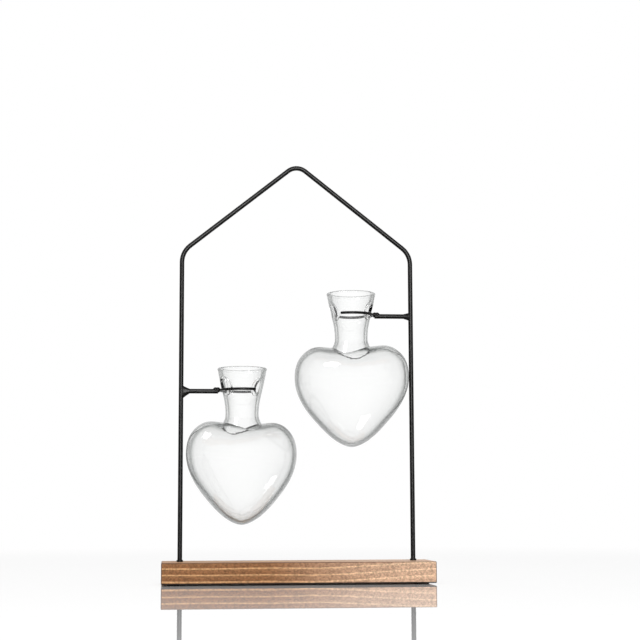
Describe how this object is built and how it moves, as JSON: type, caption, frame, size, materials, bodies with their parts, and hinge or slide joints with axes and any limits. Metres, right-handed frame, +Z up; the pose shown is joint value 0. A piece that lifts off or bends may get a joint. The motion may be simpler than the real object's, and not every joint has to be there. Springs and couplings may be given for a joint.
{
  "type": "propagation vase",
  "caption": "Desk stand for rooting cuttings: a wooden bar, a black wire frame shaped like a house, and clear heart-shaped glass vases hung by their necks in open rings.",
  "frame": {"origin": "on the table under the middle of the wooden bar, at the level of the pads' undersides", "axes": "+X along the bar from the lower vase to the higher one, +Y from the viewer to the back, +Z up"},
  "size_m": [0.2, 0.0598, 0.3143],
  "materials": {
    "browned_pine": "planed pine, scorched brown and waxed, with pale growth lines along the bar",
    "black_paint": "satin black paint over bent and welded steel wire",
    "clear_glass": "clear blown glass with a melted lip",
    "zinc_plate": "bright zinc plate",
    "pad_rubber": "dull black foam rubber"
  },
  "bodies": {
    "stand": {"wood_base": "browned_pine", "house_frame": "black_paint", "left_leg_washer": "zinc_plate", "right_leg_washer": "zinc_plate", "left_leg_nut": "zinc_plate", "right_leg_nut": "zinc_plate", "front_left_pad": "pad_rubber", "front_right_pad": "pad_rubber", "back_left_pad": "pad_rubber", "back_right_pad": "pad_rubber", "left_arm": "black_paint", "right_arm": "black_paint", "left_ring": "black_paint", "right_ring": "black_paint", "left_arm_weld": "black_paint", "right_arm_weld": "black_paint", "left_ring_weld": "black_paint", "right_ring_weld": "black_paint"},
    "left_vase": {"left_vase": "clear_glass"},
    "right_vase": {"right_vase": "clear_glass"}
  },
  "joints": [
    {"name": "left_vase_lift", "type": "slide", "parent": "stand", "child": "left_vase", "axis": [0, 0, 1], "range_m": [0, 0.0215]},
    {"name": "right_vase_lift", "type": "slide", "parent": "stand", "child": "right_vase", "axis": [0, 0, 1], "range_m": [0, 0.0215]}
  ]
}
